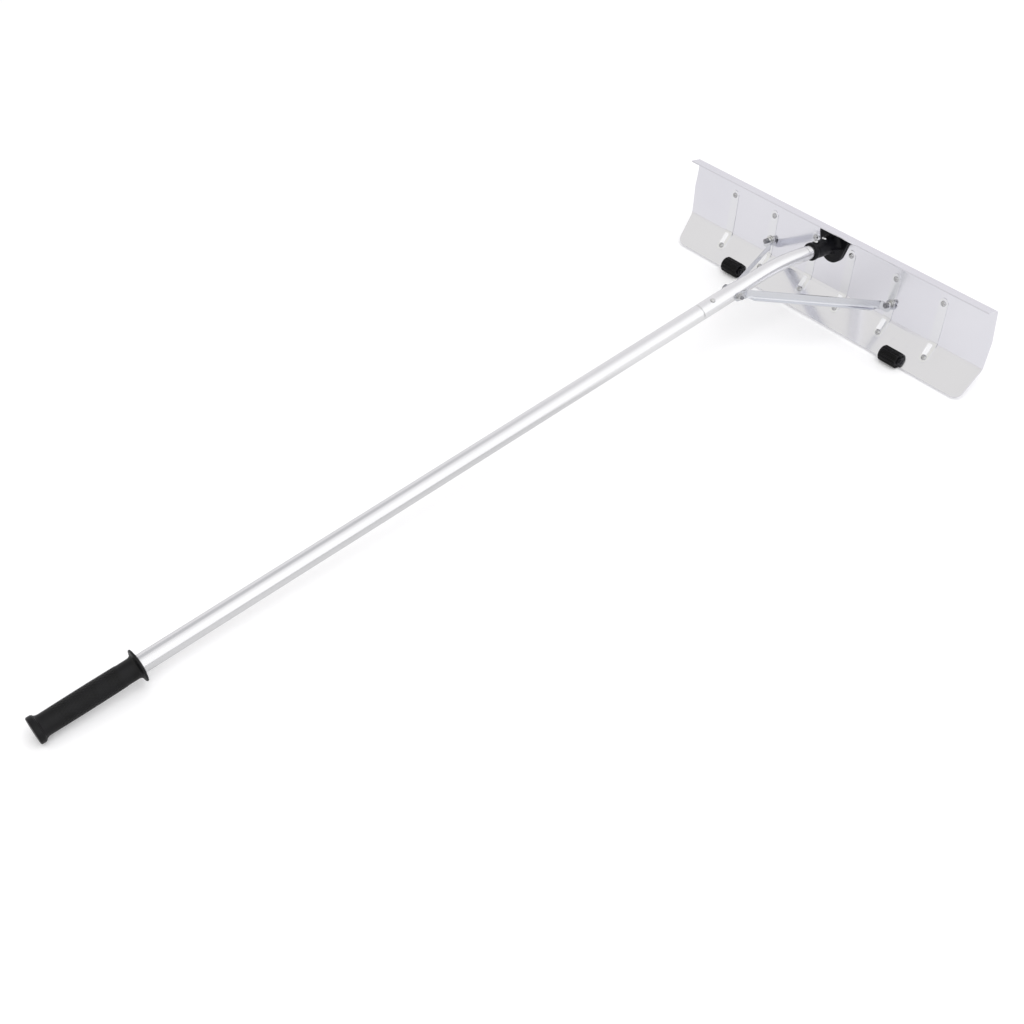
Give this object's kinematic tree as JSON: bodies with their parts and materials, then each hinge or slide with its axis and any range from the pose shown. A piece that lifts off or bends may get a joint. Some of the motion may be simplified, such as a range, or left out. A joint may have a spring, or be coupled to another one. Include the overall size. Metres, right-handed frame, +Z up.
{
  "type": "roof snow rake",
  "caption": "Roof snow rake: an aluminium blade with a folded lip, rollers and stiffening straps, held by a braced curved tube and a pole section with a rubber grip.",
  "frame": {"origin": "on the floor under the middle of the rake's overall box, with the rake resting on its rollers and the grip's rear flange", "axes": "+X along the blade, +Y horizontal from the grip to the blade, +Z up"},
  "size_m": [0.619, 1.387, 0.1456],
  "materials": {
    "blade": "satin rolled sheet",
    "strap": "satin rolled strip",
    "tube": "satin anodised",
    "brace": "satin extruded",
    "zinc": "bright zinc plate",
    "dark_steel": "dull zinc plate",
    "black_plastic": "moulded, satin",
    "roller_plastic": "moulded, satin",
    "rubber": "matte with a dimpled hand area"
  },
  "bodies": {
    "rake": {"blade": "blade", "strap_1": "strap", "strap_2": "strap", "strap_3": "strap", "strap_4": "strap", "strap_5": "strap", "strap_6": "strap", "panel_rivet_1": "zinc", "lip_rivet_1": "zinc", "panel_rivet_2": "zinc", "lip_rivet_2": "zinc", "panel_rivet_3": "zinc", "lip_rivet_3": "zinc", "panel_rivet_4": "zinc", "lip_rivet_4": "zinc", "panel_rivet_5": "zinc", "lip_rivet_5": "zinc", "panel_rivet_6": "zinc", "lip_rivet_6": "zinc", "socket_bracket": "black_plastic", "socket_screw_1": "zinc", "socket_screw_2": "zinc", "plate_screw_1": "zinc", "plate_screw_2": "zinc", "plate_screw_3": "zinc", "curved_tube": "tube", "pole": "tube", "button_spring": "zinc", "grip": "rubber", "brace_left": "brace", "brace_right": "brace", "pivot_bolt": "dark_steel", "pivot_washer": "zinc", "pivot_nut": "zinc", "brace_bolt_left": "dark_steel", "brace_washer_left": "zinc", "brace_spacer_left": "zinc", "brace_nut_left": "dark_steel", "roller_axle_left": "dark_steel", "roller_bracket_left": "black_plastic", "bracket_rivet_left_1": "zinc", "bracket_rivet_left_2": "zinc", "brace_bolt_right": "dark_steel", "brace_washer_right": "zinc", "brace_spacer_right": "zinc", "brace_nut_right": "dark_steel", "roller_axle_right": "dark_steel", "roller_bracket_right": "black_plastic", "bracket_rivet_right_1": "zinc", "bracket_rivet_right_2": "zinc"},
    "left_roller": {"roller_left": "roller_plastic"},
    "right_roller": {"roller_right": "roller_plastic"},
    "button": {"snap_button": "zinc"}
  },
  "joints": [
    {"name": "left_roller_spin", "type": "hinge", "parent": "rake", "child": "left_roller", "pos_m": [-0.1704, 0.64073, 0.01272], "axis": [1, 0, 0], "continuous": true},
    {"name": "right_roller_spin", "type": "hinge", "parent": "rake", "child": "right_roller", "pos_m": [0.1704, 0.64073, 0.01272], "axis": [1, 0, 0], "continuous": true},
    {"name": "button_press", "type": "slide", "parent": "rake", "child": "button", "axis": [-0.342, 0.0858, -0.9358], "range_m": [0, 0.0045], "deforming": ["button_spring"]}
  ]
}
